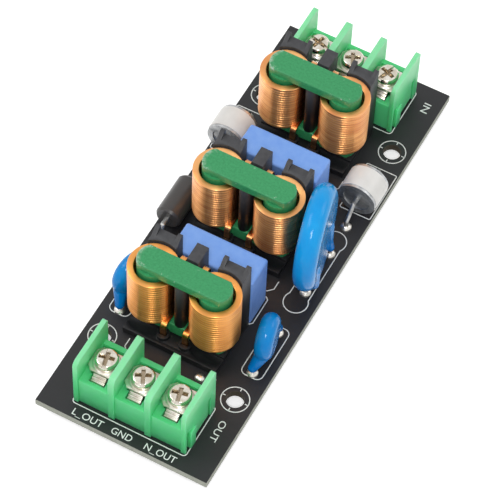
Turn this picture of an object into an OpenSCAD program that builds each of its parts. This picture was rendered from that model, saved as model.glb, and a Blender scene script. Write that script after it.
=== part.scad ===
// EMI line filter board: three common-mode chokes, two box film capacitors, two disc capacitors,
// a disc varistor, two gas discharge tubes and an axial suppressor between two 3-way terminal strips.
// Units are millimetres. The origin is the centre of the four mounting holes on the underside of the
// board. +Y points to the input end and +Z to the component side.

/* [Board] */
// Board width across
board_width = 36; // [35:0.5:40]
// Board length from output end to input end
board_length = 100.5; // [99:0.5:106]
// Board thickness
board_thickness = 1.6; // [1:0.1:2.4]
// Spacing of the mounting holes across the board
hole_spacing_x = 28.3; // [28:0.1:29]
// Spacing of the mounting holes along the board
hole_spacing_y = 64.5; // [64:0.1:65.5]
// Mounting hole diameter
hole_diameter = 3.5; // [3:0.1:4]
// Length of the cut leads below the underside of the board
lead_tail = 2; // [1.5:0.1:3]
// Free gap between a lead and its board hole, filled by solder
lead_hole_gap = 0.1; // [0.05:0.01:0.2]
// Radius of a solder cone on the underside
solder_radius = 1.15; // [1:0.05:1.2]
// Height of a solder cone on the underside
solder_height = 1.3; // [0.8:0.1:1.4]
// Radius of a solder dome on the component side
dome_radius = 1.15; // [1:0.05:1.3]
// Height of a solder dome on the component side
dome_height = 0.7; // [0.4:0.1:0.8]

/* [Terminal strips] */
// Distance from one terminal to the next
terminal_pitch = 7.62; // [7.5:0.01:7.7]
// Overall width of a terminal strip
terminal_width = 23.5; // [23.4:0.1:23.8]
// Depth of the barrier walls, front to back
terminal_depth = 11.3; // [11:0.1:11.6]
// Height of the barrier walls above the board
barrier_height = 13.1; // [12.6:0.1:15]
// Thickness of the two inner barrier walls
barrier_thickness = 1.28; // [1:0.02:1.4]
// Thickness of the two end walls
end_wall_thickness = 0.95; // [0.9:0.05:1]
// Height of the moulded base under the screws
terminal_base_height = 7.3; // [7:0.1:7.6]
// Set-back of the base from the front edge of the walls
terminal_set_back = 0.4; // [0.2:0.05:0.6]
// Front edge of the output strip, measured from the board centre
out_strip_front = -46.9; // [-47.2:0.1:-46.6]
// Front edge of the input strip, measured from the board centre
in_strip_front = 36.3; // [36.2:0.1:37]
// Distance of the screw centres behind the front edge
screw_set_back = 5.3; // [5.2:0.1:5.5]
// Screw head diameter
screw_head_diameter = 4.5; // [4.2:0.1:4.8]
// Screw head height
screw_head_height = 1.65; // [1.5:0.05:1.9]
// Screw thread diameter
screw_diameter = 3; // [2.6:0.1:3.2]
// Screw length under the head
screw_length = 5; // [4:0.1:5.4]
// Width of a clamp plate
clamp_width = 6; // [5.6:0.1:6.1]
// Depth of a clamp plate
clamp_depth = 5.4; // [5:0.1:5.8]
// Thickness of a clamp plate
clamp_thickness = 0.75; // [0.6:0.05:0.9]
// Width of a contact strip
contact_width = 3.8; // [3.4:0.1:4]
// Thickness of a contact strip
contact_thickness = 0.8; // [0.6:0.05:0.9]
// Width of the bent front of a contact
contact_front_width = 2.7; // [2.4:0.1:3]
// Depth of the gripping grooves across a contact
contact_groove = 0.18; // [0.1:0.02:0.2]
// Width of the solder pin of a contact
contact_pin_width = 1.2; // [1:0.1:1.3]
// Height of the joining slots in the end walls
joining_slot_height = 6.6; // [6:0.1:7]
// Width of a joining slot
joining_slot_width = 1; // [0.8:0.1:1.1]
// Distance of the front joining slot behind the front edge
front_slot_set_back = 0.6; // [0.5:0.1:0.8]
// Distance of the rear joining slot behind the front edge
rear_slot_set_back = 8.5; // [8.3:0.1:8.8]
// Height of the joining tongue on the right end wall
tongue_height = 5.6; // [5:0.1:6]
// Width of the joining tongue, front to back
tongue_width = 1.8; // [1.6:0.1:2]
// Stand-out of the joining tongue from the end wall
tongue_depth = 0.35; // [0.2:0.05:0.45]
// Height of the foot relief in the end walls
foot_relief_height = 1.5; // [1:0.1:2]
// Depth of the foot relief in the end walls
foot_relief_depth = 0.9; // [0.6:0.1:1]

/* [Chokes] */
// Centre of all three chokes across the board
choke_x = -1.4; // [-1.6:0.1:-1.3]
// Centre of the output choke along the board
choke_out_y = -23.9; // [-24.2:0.1:-23.9]
// Centre of the middle choke along the board
choke_mid_y = 0.9; // [0.7:0.1:1.1]
// Centre of the input choke along the board
choke_in_y = 27.6; // [27.6:0.1:28]
// Distance from one winding axis to the other
winding_spacing = 13.1; // [13:0.05:13.2]
// Outer radius of a winding
winding_radius = 4.85; // [4.7:0.05:4.9]
// Width of the flat wire, wound on edge
wire_width = 1.25; // [1.1:0.05:1.3]
// Number of turns in a winding
winding_turns = 17; // [12:1:20]
// Height of the lowest turn above the board
winding_bottom = 5; // [4.8:0.1:5.4]
// Height of the top turn above the board
winding_top = 18; // [17:0.1:18.1]
// Depth of the groove between turns
turn_groove = 0.14; // [0.08:0.01:0.2]
// Radius of the round core legs
core_leg_radius = 3.1; // [2.9:0.05:3.2]
// Width of the core bars, front to back
core_bar_width = 4.6; // [4.2:0.1:4.6]
// Height of the top face of the core above the board
core_top = 21; // [20.6:0.1:21.4]
// Height of the underside of the top bar above the board
core_bar_bottom = 18.2; // [18.2:0.1:18.6]
// Height of the top of the lower bar above the board
core_yoke_top = 4.6; // [4.2:0.1:4.7]
// Edge break around the top of the core
core_edge = 0.45; // [0.2:0.05:0.6]
// Thickness of the choke base plate
choke_base_thickness = 1.6; // [1.2:0.1:2]
// Width of the choke base across
choke_base_width = 19.8; // [19.4:0.1:20]
// Front edge of the choke base ahead of the winding axes
choke_base_front = 5.7; // [5.5:0.1:5.8]
// Rear face of the choke base behind the winding axes
choke_base_rear = 7.4; // [7.2:0.05:7.4]
// Running gap between a winding and the wall behind it
winding_wall_gap = 0.3; // [0.2:0.05:0.4]
// Height of the walls behind the windings
choke_wall_height = 18.3; // [17.5:0.1:18.6]
// Height of the wall horns
choke_horn_height = 19.5; // [19:0.1:20]
// Inner edge of a rear wall from the choke centre
choke_wall_inner = 4.4; // [4.2:0.1:4.6]
// Thickness of the plate between the windings
divider_thickness = 2.4; // [2:0.1:2.6]
// Height of the block behind the top bar
divider_block_height = 19.8; // [19:0.1:20.2]

/* [Box capacitors] */
// Length of a box capacitor
box_cap_length = 17.2; // [16.8:0.1:17.4]
// Thickness of a box capacitor
box_cap_thickness = 6.5; // [6.2:0.1:6.5]
// Height of a box capacitor
box_cap_height = 13.3; // [12:0.1:15]
// Rounding of the box capacitor edges
box_cap_edge = 0.5; // [0.3:0.05:0.7]
// Wall thickness of a box capacitor case
box_cap_wall = 0.7; // [0.5:0.05:1]
// Height of the resin face above the board
box_cap_resin_face = 0.6; // [0.4:0.1:0.9]
// Lead spacing of a box capacitor
box_cap_pitch = 15; // [14.6:0.1:15]
// Lead diameter of the box capacitors and the varistor
thick_lead = 0.8; // [0.6:0.05:0.9]
// Centre of the output box capacitor across the board
box_cap_out_x = 0.05; // [-0.2:0.05:0.3]
// Centre of the output box capacitor along the board
box_cap_out_y = -13.05; // [-13.05:0.05:-12.8]
// Centre of the input box capacitor across the board
box_cap_in_x = -0.35; // [-0.6:0.05:-0.1]
// Centre of the input box capacitor along the board
box_cap_in_y = 12.9; // [12.7:0.05:13.2]

/* [Disc capacitors] */
// Distance of the disc capacitor leads from the board centre line
disc_cap_x = 14.2; // [14.1:0.1:14.4]
// Offset of a disc outwards from its leads
disc_cap_offset = 0.25; // [0.2:0.05:0.4]
// Centre of the disc capacitors along the board
disc_cap_y = -20.6; // [-20.8:0.1:-20.4]
// Height of the disc centre above the board
disc_cap_centre_height = 5.9; // [5.6:0.1:6.3]
// Radius of a disc capacitor
disc_cap_radius = 4.7; // [4.4:0.1:4.8]
// Thickness of a disc capacitor
disc_cap_thickness = 3.5; // [3:0.1:3.8]
// Lead spacing of a disc capacitor
disc_cap_pitch = 10; // [9.8:0.1:10.2]
// Turn of the disc capacitors from the length of the board
disc_cap_turn = 12; // [5:1:16]
// Radius of a coating leg where it leaves the disc
disc_cap_leg_radius = 1.5; // [1.3:0.1:1.6]
// Radius of a coating leg where it ends on the lead
disc_cap_leg_end_radius = 0.95; // [0.8:0.05:0.95]
// Lead diameter of the disc capacitors
thin_lead = 0.6; // [0.5:0.05:0.7]

/* [Varistor] */
// Centre of the varistor across the board
varistor_x = 13.4; // [13.3:0.1:13.6]
// Centre of the varistor along the board
varistor_y = 0; // [-0.2:0.1:0.2]
// Height of the varistor centre above the board
varistor_centre_height = 11.5; // [11.3:0.1:12]
// Radius of the varistor disc
varistor_radius = 10.5; // [10:0.1:10.6]
// Thickness of the varistor disc
varistor_thickness = 4.4; // [4:0.1:4.6]
// Lead spacing of the varistor
varistor_pitch = 10; // [9.8:0.1:10.2]
// Turn of the varistor from the length of the board
varistor_turn = 13; // [11:1:15]
// Radius of the coating over a lead of the varistor
varistor_ridge_radius = 1.05; // [0.9:0.05:1.1]
// Radius of the coating legs of the varistor where they end on the leads
varistor_leg_radius = 0.85; // [0.7:0.05:0.9]

/* [Gas discharge tubes] */
// Distance of the tubes from the board centre line
tube_x = 14.35; // [14.3:0.05:14.6]
// Centre of the tubes along the board
tube_y = 18.85; // [18.6:0.05:18.85]
// Radius of a tube body
tube_radius = 4.05; // [3.9:0.05:4.1]
// Length of a tube body
tube_length = 5.9; // [5.5:0.1:6]
// Thickness of the metal end caps
tube_cap = 0.55; // [0.4:0.05:0.7]
// Radius of the dished centre of an end cap
tube_dish_radius = 2.8; // [2.4:0.1:3.1]
// Depth of the dished centre of an end cap
tube_dish_depth = 0.3; // [0.2:0.05:0.35]
// Distance from a tube centre to its solder points
tube_reach = 6.8; // [6.5:0.1:7.2]
// Gap between a tube and the board
tube_lift = 0.25; // [0.1:0.05:0.4]
// Drop of the sloping part of a tube lead
tube_lead_drop = 2.6; // [2.2:0.1:2.9]
// Lead diameter of the tubes
tube_lead = 0.9; // [0.7:0.05:1]

/* [Suppressor diode] */
// Centre of the diode across the board
diode_x = -15.6; // [-15.7:0.05:-15.5]
// Centre of the diode along the board
diode_y = -0.15; // [-0.5:0.05:0.2]
// Diameter of the diode body
diode_diameter = 5.3; // [5:0.1:5.4]
// Length of the diode body
diode_length = 9.5; // [9:0.1:10]
// Gap between the diode body and the board
diode_lift = 0.2; // [0.1:0.05:0.4]
// Distance from the diode centre to its solder points
diode_reach = 7.3; // [7:0.1:7.6]
// Lead diameter of the diode
diode_lead = 1.1; // [0.9:0.05:1.2]

/* [Hidden] */
$fn = 64;

top = board_thickness;
tip = -lead_tail;

// Heights above the board face where the coating of the dipped parts ends on the leads
coat_end_height = dome_height + 0.1;
varistor_coat_end = dome_height + 0.6;

// Terminal strip heights above the board face
contact_top = terminal_base_height + 1.2;
clamp_top = contact_top + clamp_thickness;
contact_drop_y = 1.5;
contact_bend = 1.5;
tongue_rear = front_slot_set_back + joining_slot_width + tongue_width;
bay_offsets = [-terminal_pitch, 0, terminal_pitch];
screw_turns_out = [102, 116, 103];
screw_turns_in = [-15, 116, 70];

// Choke positions and the holes for the wire ends
winding_offset = winding_spacing / 2;
wire_end_x = winding_offset - winding_radius + wire_width / 2;
turn_pitch = (winding_top - winding_bottom) / winding_turns;
wire_thick = 0.6;
front_drop = 3.6;
rear_drop = 4.6;
choke_centres = [choke_out_y, choke_mid_y, choke_in_y];

// Every solder point as [x, y, width, depth, dome]; a depth of 0 marks a round lead
contact_pins = [for (y = [out_strip_front, in_strip_front], x = bay_offsets)
    [x, y + contact_drop_y + contact_thickness / 2, contact_pin_width, contact_thickness, 0]];
choke_pins = [for (y = choke_centres, s = [-1, 1], d = [-front_drop, rear_drop])
    [choke_x + s * wire_end_x, y + d, wire_width, wire_thick, 0]];
box_cap_pins = [for (c = [[box_cap_out_x, box_cap_out_y], [box_cap_in_x, box_cap_in_y]], s = [-1, 1])
    [c[0] + s * box_cap_pitch / 2, c[1], thick_lead, 0, 0]];
disc_cap_pins = [for (side = [-1, 1], s = [-1, 1])
    [side * disc_cap_x, disc_cap_y + s * disc_cap_pitch / 2, thin_lead, 0, 1]];
varistor_pins = [for (s = [-1, 1])
    [varistor_x + 1.1, varistor_y + s * varistor_pitch / 2, thick_lead, 0, 1]];
tube_pins = [for (side = [-1, 1], s = [-1, 1])
    [side * tube_x, tube_y + s * tube_reach, tube_lead, 0, 1]];
diode_pins = [for (s = [-1, 1])
    [diode_x, diode_y + s * diode_reach, diode_lead, 0, 1]];
pins = concat(contact_pins, choke_pins, box_cap_pins, disc_cap_pins, varistor_pins, tube_pins, diode_pins);

function lead_reach(p) = p[3] > 0 ? sqrt(p[2] * p[2] + p[3] * p[3]) / 2 : p[2] / 2;
function hole_radius(p) = lead_reach(p) + lead_hole_gap;

// A straight run of wire between two points
module wire_run(a, b, r) {
    d = b - a;
    length = norm(d);
    translate(a)
        rotate([0, acos(d[2] / length), atan2(d[1], d[0])])
            cylinder(r = r, h = length, $fn = 32);
}

// A bent wire through a list of points, rounded at each bend
module bent_wire(points, r) {
    for (i = [0 : len(points) - 2])
        wire_run(points[i], points[i + 1], r);
    for (i = [1 : len(points) - 2])
        translate(points[i])
            sphere(r = r, $fn = 32);
}

// A box with rounded upright and top edges and a flat underside
module soft_box(size, r) {
    w = size[0];
    d = size[1];
    h = size[2];
    translate([r - w / 2, -d / 2, 0])
        cube([w - 2 * r, d, h - r]);
    translate([-w / 2, r - d / 2, 0])
        cube([w, d - 2 * r, h - r]);
    translate([r - w / 2, r - d / 2, 0])
        cube([w - 2 * r, d - 2 * r, h]);
    for (sx = [-1, 1], sy = [-1, 1])
        translate([sx * (w / 2 - r), sy * (d / 2 - r), 0]) {
            cylinder(r = r, h = h - r, $fn = 32);
            translate([0, 0, h - r])
                sphere(r = r, $fn = 32);
        }
    for (sx = [-1, 1])
        translate([sx * (w / 2 - r), r - d / 2, h - r])
            rotate([-90, 0, 0])
                cylinder(r = r, h = d - 2 * r, $fn = 32);
    for (sy = [-1, 1])
        translate([r - w / 2, sy * (d / 2 - r), h - r])
            rotate([0, 90, 0])
                cylinder(r = r, h = w - 2 * r, $fn = 32);
}

module pcb() {
    difference() {
        translate([-board_width / 2, -board_length / 2, 0])
            cube([board_width, board_length, board_thickness]);
        for (sx = [-1, 1], sy = [-1, 1])
            translate([sx * hole_spacing_x / 2, sy * hole_spacing_y / 2, -1])
                cylinder(d = hole_diameter, h = board_thickness + 2);
        for (p = pins)
            translate([p[0], p[1], -1])
                cylinder(r = hole_radius(p), h = board_thickness + 2, $fn = 32);
    }
}

// The lead of one solder point as a plain straight bar
module lead_bar(p, z0, z1) {
    if (p[3] > 0)
        translate([p[0] - p[2] / 2, p[1] - p[3] / 2, z0])
            cube([p[2], p[3], z1 - z0]);
    else
        translate([p[0], p[1], z0])
            cylinder(r = p[2] / 2, h = z1 - z0, $fn = 32);
}

module solder_joint(p) {
    difference() {
        translate([p[0], p[1], 0])
            rotate_extrude($fn = 32)
                polygon(concat(
                    [[0, -solder_height],
                     [lead_reach(p) + 0.08, -solder_height],
                     [lead_reach(p) + 0.25, -solder_height * 0.5],
                     [solder_radius, 0],
                     [hole_radius(p), 0],
                     [hole_radius(p), top]],
                    p[4] > 0
                    ? [[dome_radius, top],
                       [dome_radius * 0.92, top + dome_height * 0.4],
                       [dome_radius * 0.68, top + dome_height * 0.8],
                       [lead_reach(p) + 0.1, top + dome_height],
                       [0, top + dome_height]]
                    : [[0, top]]));
        lead_bar(p, tip - 1, top + 2);
    }
}

module solder_joints() {
    for (p = pins)
        solder_joint(p);
}

// Barrier wall seen from the side, front edge at y = 0
module barrier_wall(x0, thickness) {
    front_round = 1.3;
    rear_round = 0.7;
    translate([x0, 0, 0])
        rotate([90, 0, 90])
            linear_extrude(height = thickness) {
                square([terminal_depth, barrier_height - front_round]);
                translate([front_round, 0])
                    square([terminal_depth - front_round - rear_round, barrier_height]);
                translate([terminal_depth - front_round, 0])
                    square([front_round, barrier_height - rear_round]);
                translate([front_round, barrier_height - front_round])
                    circle(r = front_round, $fn = 48);
                translate([terminal_depth - rear_round, barrier_height - rear_round])
                    circle(r = rear_round, $fn = 48);
            }
}

module terminal_housing() {
    difference() {
        union() {
            translate([-terminal_width / 2, terminal_set_back, 0])
                cube([terminal_width, terminal_depth - terminal_set_back - 0.2, terminal_base_height]);
            for (s = [-1, 1])
                barrier_wall(s * terminal_pitch / 2 - barrier_thickness / 2, barrier_thickness);
            barrier_wall(-terminal_width / 2, end_wall_thickness);
            barrier_wall(terminal_width / 2 - end_wall_thickness, end_wall_thickness);
        }
        for (x = bay_offsets) {
            // Pocket for the contact, with a ledge in front and a rail behind
            translate([x - contact_front_width / 2 - 0.3, contact_drop_y - 0.2, terminal_base_height - 2.4])
                cube([contact_front_width + 0.6, contact_bend + 0.8, 5]);
            translate([x - contact_width / 2 - 0.3, contact_drop_y + contact_bend,
                       terminal_base_height - 2.4])
                cube([contact_width + 0.6, screw_set_back + 2.7 - contact_drop_y - contact_bend, 5]);
            // Well for the end of the screw
            translate([x, screw_set_back, clamp_top - screw_length - 0.4])
                cylinder(d = screw_diameter + 0.5, h = 10);
            // Slot for the solder pin
            translate([x - contact_pin_width / 2 - 0.1, contact_drop_y - 0.1, -1])
                cube([contact_pin_width + 0.2, contact_thickness + 0.2, terminal_base_height]);
        }
        // Upright joining slots and the foot relief between them on both end walls
        for (s = [-1, 1], y = [front_slot_set_back, rear_slot_set_back])
            translate([s * (terminal_width / 2 + 0.1) - 0.6, y, -1])
                cube([1.2, joining_slot_width, joining_slot_height + 1]);
        relief_length = rear_slot_set_back - tongue_rear + 0.1;
        for (s = [-1, 1])
            translate([s * terminal_width / 2 - foot_relief_depth, tongue_rear, -1])
                cube([2 * foot_relief_depth, relief_length, foot_relief_height + 1]);
    }
    // Joining tongue behind the front slot of the right end wall
    translate([terminal_width / 2 - 0.3, tongue_rear - tongue_width, 0])
        cube([tongue_depth + 0.3, tongue_width, tongue_height]);
}

// One contact: a flat bar under the clamp with a narrower front bent down into the solder pin
module terminal_contact() {
    t = contact_thickness;
    bend = contact_bend;
    difference() {
        union() {
            translate([-contact_width / 2, contact_drop_y + bend + t * 0.5, contact_top - t])
                cube([contact_width, screw_set_back + 2.5 - contact_drop_y - bend - t * 0.5, t]);
            rotate([90, 0, 90])
                translate([0, 0, -contact_front_width / 2])
                    linear_extrude(height = contact_front_width)
                        polygon([[contact_drop_y + bend + t + 0.2, contact_top],
                                 [contact_drop_y + bend + t * 0.5, contact_top],
                                 [contact_drop_y, contact_top - bend - t * 0.2],
                                 [contact_drop_y, terminal_base_height - 2.2],
                                 [contact_drop_y + t, terminal_base_height - 2.2],
                                 [contact_drop_y + t, contact_top - bend - t * 0.5],
                                 [contact_drop_y + bend + t, contact_top - t],
                                 [contact_drop_y + bend + t + 0.2, contact_top - t]]);
            translate([-contact_pin_width / 2, contact_drop_y, tip - top])
                cube([contact_pin_width, t, terminal_base_height - tip + top - 2.2]);
        }
        translate([0, screw_set_back, 0])
            cylinder(d = screw_diameter, h = contact_top + 1);
        // Gripping grooves across the sloping front
        for (k = [0.25, 0.5, 0.75])
            translate([-contact_width, contact_drop_y + k * (bend + t * 0.5),
                       contact_top - (1 - k) * (bend + t * 0.2)])
                rotate([0, 90, 0])
                    cylinder(r = contact_groove, h = 2 * contact_width, $fn = 24);
    }
}

// One clamp plate with a raised collar round the screw
module terminal_clamp() {
    translate([0, screw_set_back, contact_top])
        difference() {
            union() {
                difference() {
                    translate([-clamp_width / 2, -clamp_depth / 2, 0])
                        cube([clamp_width, clamp_depth, clamp_thickness * 0.7]);
                    for (sx = [-1, 1], sy = [-1, 1])
                        translate([sx * clamp_width / 2, sy * clamp_depth / 2, -1])
                            rotate([0, 0, 45])
                                cube([1.4, 1.4, 4], center = true);
                }
                cylinder(d = screw_head_diameter + 0.7, h = clamp_thickness);
            }
            translate([0, 0, -1])
                cylinder(d = screw_diameter + 0.2, h = clamp_thickness + 2);
        }
}

// One pan-head screw with a slot and a cross recess
module terminal_screw(turn) {
    r = screw_head_diameter / 2;
    h = screw_head_height;
    translate([0, screw_set_back, clamp_top])
        difference() {
            union() {
                rotate_extrude()
                    polygon([[0, 0], [r, 0], [r, h * 0.5], [r * 0.96, h * 0.74],
                             [r * 0.84, h * 0.91], [r * 0.6, h], [0, h]]);
                translate([0, 0, -screw_length])
                    cylinder(d = screw_diameter, h = screw_length);
            }
            rotate([0, 0, turn]) {
                translate([-r - 1, -0.4, h - 0.6])
                    cube([2 * r + 2, 0.8, 2]);
                translate([-0.45, -r * 0.68, h - 1.1])
                    cube([0.9, r * 1.36, 3]);
                translate([-r * 0.68, -0.45, h - 1.1])
                    cube([r * 1.36, 0.9, 3]);
            }
        }
}

module terminal_housing_at(y) {
    translate([0, y, top])
        terminal_housing();
}

module terminal_contacts_at(y) {
    for (x = bay_offsets)
        translate([x, y, top])
            terminal_contact();
}

module terminal_clamps_at(y) {
    for (x = bay_offsets)
        translate([x, y, top])
            terminal_clamp();
}

module terminal_screws_at(y, turns) {
    for (i = [0 : 2])
        translate([bay_offsets[i], y, top])
            terminal_screw(turns[i]);
}

// Plan of a core bar: two round ends trimmed to the bar width
module core_plan(inset) {
    intersection() {
        union() {
            for (s = [-1, 1])
                translate([s * winding_offset, 0])
                    circle(r = core_leg_radius - inset);
            square([2 * winding_offset, 2 * core_leg_radius], center = true);
        }
        square([4 * winding_offset, core_bar_width - 2 * inset], center = true);
    }
}

module choke_core() {
    translate([0, 0, choke_base_thickness])
        linear_extrude(height = core_yoke_top - choke_base_thickness)
            core_plan(0);
    for (s = [-1, 1])
        translate([s * winding_offset, 0, core_yoke_top - 0.5])
            cylinder(r = core_leg_radius, h = core_bar_bottom - core_yoke_top + 1);
    translate([0, 0, core_bar_bottom])
        linear_extrude(height = core_top - core_edge - core_bar_bottom)
            core_plan(0);
    hull() {
        translate([0, 0, core_top - core_edge - 0.01])
            linear_extrude(height = 0.01)
                core_plan(0);
        translate([0, 0, core_top - 0.01])
            linear_extrude(height = 0.01)
                core_plan(core_edge);
    }
}

// A winding of flat wire on edge, with both wire ends running down through the board.
// The side is -1 for the left winding and 1 for the right one.
module choke_winding(side) {
    inner = winding_radius - wire_width;
    translate([side * winding_offset, 0, 0])
        rotate_extrude($fn = 96)
            polygon(concat(
                [[inner, winding_bottom]],
                [for (k = [0 : winding_turns - 1], q = [0, 1, 2])
                    [winding_radius - (q == 0 ? turn_groove : 0),
                     winding_bottom + k * turn_pitch + [0, 0.1, turn_pitch - 0.1][q]]],
                [[winding_radius - turn_groove, winding_top], [inner, winding_top]]));
    // Lower end leaves forwards, upper end leaves backwards
    translate([side * wire_end_x - wire_width / 2, 0, 0]) {
        translate([0, -front_drop - wire_thick / 2, winding_bottom])
            cube([wire_width, front_drop + wire_thick / 2, wire_thick]);
        translate([0, -front_drop - wire_thick / 2, tip - top])
            cube([wire_width, wire_thick, winding_bottom - tip + top + 0.1]);
        translate([0, 0, winding_top - wire_thick])
            cube([wire_width, rear_drop + wire_thick / 2, wire_thick]);
        translate([0, rear_drop - wire_thick / 2, tip - top])
            cube([wire_width, wire_thick, winding_top - tip + top - 0.1]);
    }
}

// Moulded choke base: plate, two curved walls behind the windings and the plate between them
module choke_base() {
    half = choke_base_width / 2;
    wall_arc = winding_radius + winding_wall_gap;
    d = divider_thickness / 2;
    difference() {
        union() {
            translate([-half, -choke_base_front, 0])
                cube([choke_base_width, choke_base_front + choke_base_rear, choke_base_thickness]);
            for (s = [-1, 1]) {
                difference() {
                    translate([s > 0 ? choke_wall_inner : -half, 1, 0])
                        cube([half - choke_wall_inner, choke_base_rear - 1, choke_wall_height]);
                    translate([s * winding_offset, 0, choke_base_thickness])
                        cylinder(r = wall_arc, h = choke_wall_height);
                }
                // Horns at both ends of the wall
                for (x = [choke_wall_inner, half - 0.9])
                    translate([s > 0 ? x : -x - 0.9, 0, 0])
                        rotate([90, 0, 90])
                            linear_extrude(height = 0.9)
                                polygon([[choke_base_rear - 2, choke_wall_height - 0.5],
                                         [choke_base_rear - 2, choke_wall_height],
                                         [choke_base_rear - 0.8, choke_horn_height],
                                         [choke_base_rear, choke_horn_height],
                                         [choke_base_rear, choke_wall_height - 0.5]]);
                // Collars round the lower wire ends
                translate([s * wire_end_x, -front_drop, 0])
                    cylinder(r = 1.3, h = choke_base_thickness + 0.9);
            }
            // Divider between the windings and the block behind the top bar
            translate([-d, -core_bar_width / 2 + d - 0.1, core_yoke_top])
                cube([2 * d, core_bar_width / 2 + 3 - d, core_bar_bottom - core_yoke_top]);
            translate([0, -core_bar_width / 2 + d - 0.1, core_yoke_top])
                cylinder(r = d, h = core_bar_bottom - core_yoke_top);
            translate([-d, core_bar_width / 2 + 0.2, 0])
                cube([2 * d, 2, core_bar_bottom]);
            translate([-d, core_bar_width / 2 + 0.8, 0])
                cube([2 * d, choke_base_rear - core_bar_width / 2 - 1.1, divider_block_height]);
        }
        // Round wells under the windings, clear of the core seat
        for (s = [-1, 1], t = [-1, 1])
            intersection() {
                translate([s * winding_offset, 0, choke_base_thickness - 0.6])
                    cylinder(r = winding_radius + 0.2, h = 2);
                translate([-20, t > 0 ? core_bar_width / 2 + 0.1 : -10 - core_bar_width / 2 - 0.1,
                           choke_base_thickness - 0.6])
                    cube([40, 10, 0.7]);
            }
        // Slots for the wire ends
        for (s = [-1, 1], y = [-front_drop, rear_drop])
            translate([s * wire_end_x - wire_width / 2 - 0.1, y - wire_thick / 2 - 0.1, -1])
                cube([wire_width + 0.2, wire_thick + 0.2, choke_base_thickness + 4]);
    }
}

module choke_base_at(y) {
    translate([choke_x, y, top])
        choke_base();
}

module choke_core_at(y) {
    translate([choke_x, y, top])
        choke_core();
}

module choke_winding_at(y, side) {
    translate([choke_x, y, top])
        choke_winding(side);
}

module box_capacitor_case(x, y) {
    translate([x, y, top])
        difference() {
            soft_box([box_cap_length, box_cap_thickness, box_cap_height], box_cap_edge);
            translate([-box_cap_length / 2 + box_cap_wall, -box_cap_thickness / 2 + box_cap_wall, -1])
                cube([box_cap_length - 2 * box_cap_wall, box_cap_thickness - 2 * box_cap_wall,
                      box_cap_height - box_cap_wall + 1]);
        }
}

module box_capacitor_resin(x, y) {
    translate([x, y, top])
        difference() {
            translate([-box_cap_length / 2 + box_cap_wall, -box_cap_thickness / 2 + box_cap_wall,
                       box_cap_resin_face])
                cube([box_cap_length - 2 * box_cap_wall, box_cap_thickness - 2 * box_cap_wall,
                      box_cap_height - box_cap_wall - box_cap_resin_face]);
            for (s = [-1, 1])
                translate([s * box_cap_pitch / 2, 0, -1])
                    cylinder(d = thick_lead, h = box_cap_resin_face + 3, $fn = 32);
        }
}

module box_capacitor_leads(x, y) {
    for (s = [-1, 1])
        translate([x + s * box_cap_pitch / 2, y, tip])
            cylinder(d = thick_lead, h = top - tip + box_cap_resin_face + 2, $fn = 32);
}

// A coated disc standing on edge, its axis along X
module coated_disc(radius, thickness) {
    r = thickness / 2;
    rotate([0, 90, 0])
        rotate_extrude($fn = 96) {
            translate([0, -r])
                square([radius - r, thickness]);
            intersection() {
                translate([radius - r, 0])
                    circle(r = r, $fn = 48);
                translate([radius - r, -r])
                    square([r, thickness]);
            }
        }
}

// A coated disc capacitor with tapering legs of coating that run down its leads
module disc_capacitor(side) {
    translate([side * disc_cap_x, disc_cap_y, top]) {
        translate([side * disc_cap_offset, 0, disc_cap_centre_height])
            rotate([0, 0, side * disc_cap_turn])
                coated_disc(disc_cap_radius, disc_cap_thickness);
        for (s = [-1, 1]) {
            lead_end = [0, s * disc_cap_pitch / 2, coat_end_height + disc_cap_leg_end_radius + 0.05];
            coating_leg([side * (disc_cap_offset - s * sin(disc_cap_turn) * 3), s * 3, 4.3],
                        lead_end, disc_cap_leg_radius, disc_cap_leg_end_radius - 0.02);
            coating_end(lead_end, disc_cap_leg_end_radius, coat_end_height);
        }
    }
}

// A tapering leg of coating from a point inside the body down to the bare lead
module coating_leg(from, to, r1, r2) {
    d = from - to;
    length = norm(d);
    translate(to)
        rotate([0, acos(d[2] / length), atan2(d[1], d[0])])
            cylinder(r1 = r2, r2 = r1, h = length, $fn = 32);
}

// The rounded end of a coating leg, drawn in towards the bare lead below it
module coating_end(centre, radius, low) {
    translate(centre)
        sphere(r = radius, $fn = 32);
    translate([centre[0], centre[1], low])
        cylinder(r1 = radius * 0.65, r2 = radius * 0.9, h = centre[2] - low, $fn = 32);
}

module disc_capacitor_leads(side) {
    for (s = [-1, 1])
        translate([side * disc_cap_x, disc_cap_y + s * disc_cap_pitch / 2, tip])
            cylinder(d = thin_lead, h = top - tip + coat_end_height, $fn = 32);
}

module varistor() {
    translate([varistor_x, varistor_y, top]) {
        translate([0, 0, varistor_centre_height])
            rotate([0, 0, varistor_turn])
                coated_disc(varistor_radius, varistor_thickness);
        // Ridges where the leads lie under the coating, and the legs below them
        for (s = [-1, 1]) {
            x = varistor_thickness / 2 - 0.6 - s * sin(varistor_turn) * varistor_pitch / 2;
            lead_end = [1.1, s * varistor_pitch / 2, varistor_coat_end + varistor_leg_radius + 0.05];
            ridge_foot = [x, s * varistor_pitch / 2, 4.2];
            wire_run(ridge_foot, ridge_foot + [0, 0, varistor_centre_height - 6.8], varistor_ridge_radius);
            for (z = [0, varistor_centre_height - 6.8])
                translate(ridge_foot + [0, 0, z])
                    sphere(r = varistor_ridge_radius + 0.02, $fn = 32);
            coating_leg(ridge_foot, lead_end, varistor_ridge_radius, varistor_leg_radius - 0.02);
            coating_end(lead_end, varistor_leg_radius, varistor_coat_end);
        }
    }
}

module varistor_leads() {
    for (s = [-1, 1])
        translate([varistor_x + 1.1, varistor_y + s * varistor_pitch / 2, tip])
            cylinder(d = thick_lead, h = top - tip + varistor_coat_end, $fn = 32);
}

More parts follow.
